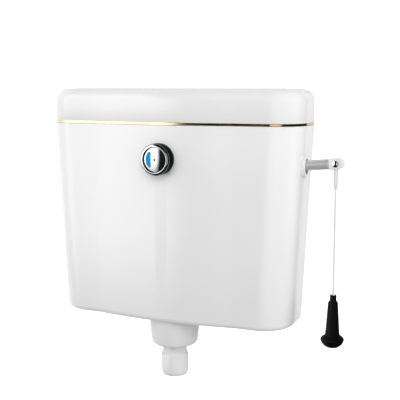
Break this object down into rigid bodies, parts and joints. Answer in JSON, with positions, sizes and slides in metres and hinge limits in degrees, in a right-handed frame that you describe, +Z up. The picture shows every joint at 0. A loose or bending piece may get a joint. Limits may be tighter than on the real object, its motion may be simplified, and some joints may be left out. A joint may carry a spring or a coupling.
{
  "type": "toilet cistern",
  "caption": "Slim white wall-hung toilet cistern with a gold lid trim, a round chrome front push button, a side lever with a pull cord and black handle, and a bottom outlet",
  "frame": {"origin": "midway between the two wall screw holes, on the back face", "axes": "+X to the right seen from the front, +Y back into the wall, +Z up"},
  "size_m": [0.4716, 0.12, 0.4335],
  "materials": {
    "shell": "gloss",
    "gold": "polished",
    "chrome": "polished",
    "blue": "gloss",
    "inner": "satin",
    "outlet_white": "satin",
    "rubber": "matte",
    "steel": "satin",
    "brass": "satin",
    "cord": "matte",
    "black": "matte",
    "float": "satin"
  },
  "bodies": {
    "cistern": {"tank": "shell", "button_bezel": "chrome", "button_gasket": "rubber", "button_nut": "inner", "crank_bracket": "inner", "crank_pin": "steel", "lever_rosette": "shell", "lever_bracket": "inner", "bracket_screws": "steel", "lever_pin": "steel", "valve_seat": "inner", "seat_gasket": "rubber", "guide_cage": "inner", "outlet_cup": "outlet_white", "neck_pipe": "outlet_white", "pipe_seal": "rubber", "pipe_socket": "outlet_white", "inlet_shank": "brass", "inlet_washer": "rubber", "inlet_nut": "brass", "fill_body": "inner", "float_pin": "steel", "down_tube": "inner"},
    "cover": {"lid": "shell", "trim_band": "gold"},
    "button": {"push_button": "chrome", "button_inset": "blue", "button_screw": "steel", "button_spring": "steel"},
    "crank": {"bell_crank": "inner"},
    "lever": {"lever_arm": "steel", "lever_rod": "chrome", "lever_eye": "shell", "eye_pin": "chrome"},
    "cord_eye": {"cord_loop": "cord", "cord_whipping": "cord"},
    "pull": {"cord_top": "cord", "pull_cord": "cord", "cord_knot": "cord", "pull_handle": "black"},
    "lifter": {"lift_ring": "steel"},
    "valve": {"seat_washer": "rubber", "valve_bell": "inner", "overflow_tube": "inner", "lift_yoke": "inner"},
    "float": {"float_lever": "brass", "float_arm": "brass", "float_ball": "float"},
    "fill": {"fill_piston": "inner", "piston_disc": "rubber"}
  },
  "joints": [
    {"name": "lid_lift", "type": "slide", "parent": "cistern", "child": "cover", "axis": [0, 0, 1], "range_m": [0, 0.1]},
    {"name": "button_press", "type": "slide", "parent": "cistern", "child": "button", "axis": [0, 1, 0], "range_m": [0, 0.008], "stiffness_N_per_m": 300, "deforming": ["button_spring"]},
    {"name": "crank_turn", "type": "hinge", "parent": "cistern", "child": "crank", "pos_m": [0, -0.08, 0.015], "axis": [1, 0, 0], "range_deg": [0, 25.2]},
    {"name": "lever_pull", "type": "hinge", "parent": "cistern", "child": "lever", "pos_m": [0.17849, -0.046, -0.0115], "axis": [0, 1, 0], "range_deg": [0, 8.5]},
    {"name": "eye_turn", "type": "hinge", "parent": "lever", "child": "cord_eye", "pos_m": [0.24248, -0.046, -0.0059], "axis": [0, 1, 0], "range_deg": [-8.6, 0]},
    {"name": "cord_swing", "type": "hinge", "parent": "cord_eye", "child": "pull", "pos_m": [0.24248, -0.046, -0.0448], "axis": [1, 0, 0], "range_deg": [-45, 8]},
    {"name": "lifter_rise", "type": "slide", "parent": "cistern", "child": "lifter", "axis": [0, 0, 1], "range_m": [0, 0.0272]},
    {"name": "valve_rise", "type": "slide", "parent": "lifter", "child": "valve", "axis": [0, 0, 1], "range_m": [0, 0.0119]},
    {"name": "float_drop", "type": "hinge", "parent": "cistern", "child": "float", "pos_m": [-0.13434, -0.021, -0.02335], "axis": [0, 1, 0], "range_deg": [0, 38]},
    {"name": "piston_slide", "type": "slide", "parent": "cistern", "child": "fill", "axis": [1, 0, 0], "range_m": [0, 0.0079]}
  ],
  "couplings": [
    {"joint": "crank_turn", "follows": "button_press", "rad_per_m": 54.667},
    {"joint": "valve_rise", "follows": "button_press", "ratio": 1.475},
    {"joint": "eye_turn", "follows": "lever_pull", "ratio": -1},
    {"joint": "lifter_rise", "follows": "lever_pull", "m_per_rad": 0.179},
    {"joint": "piston_slide", "follows": "float_drop", "m_per_rad": 0.01178}
  ]
}
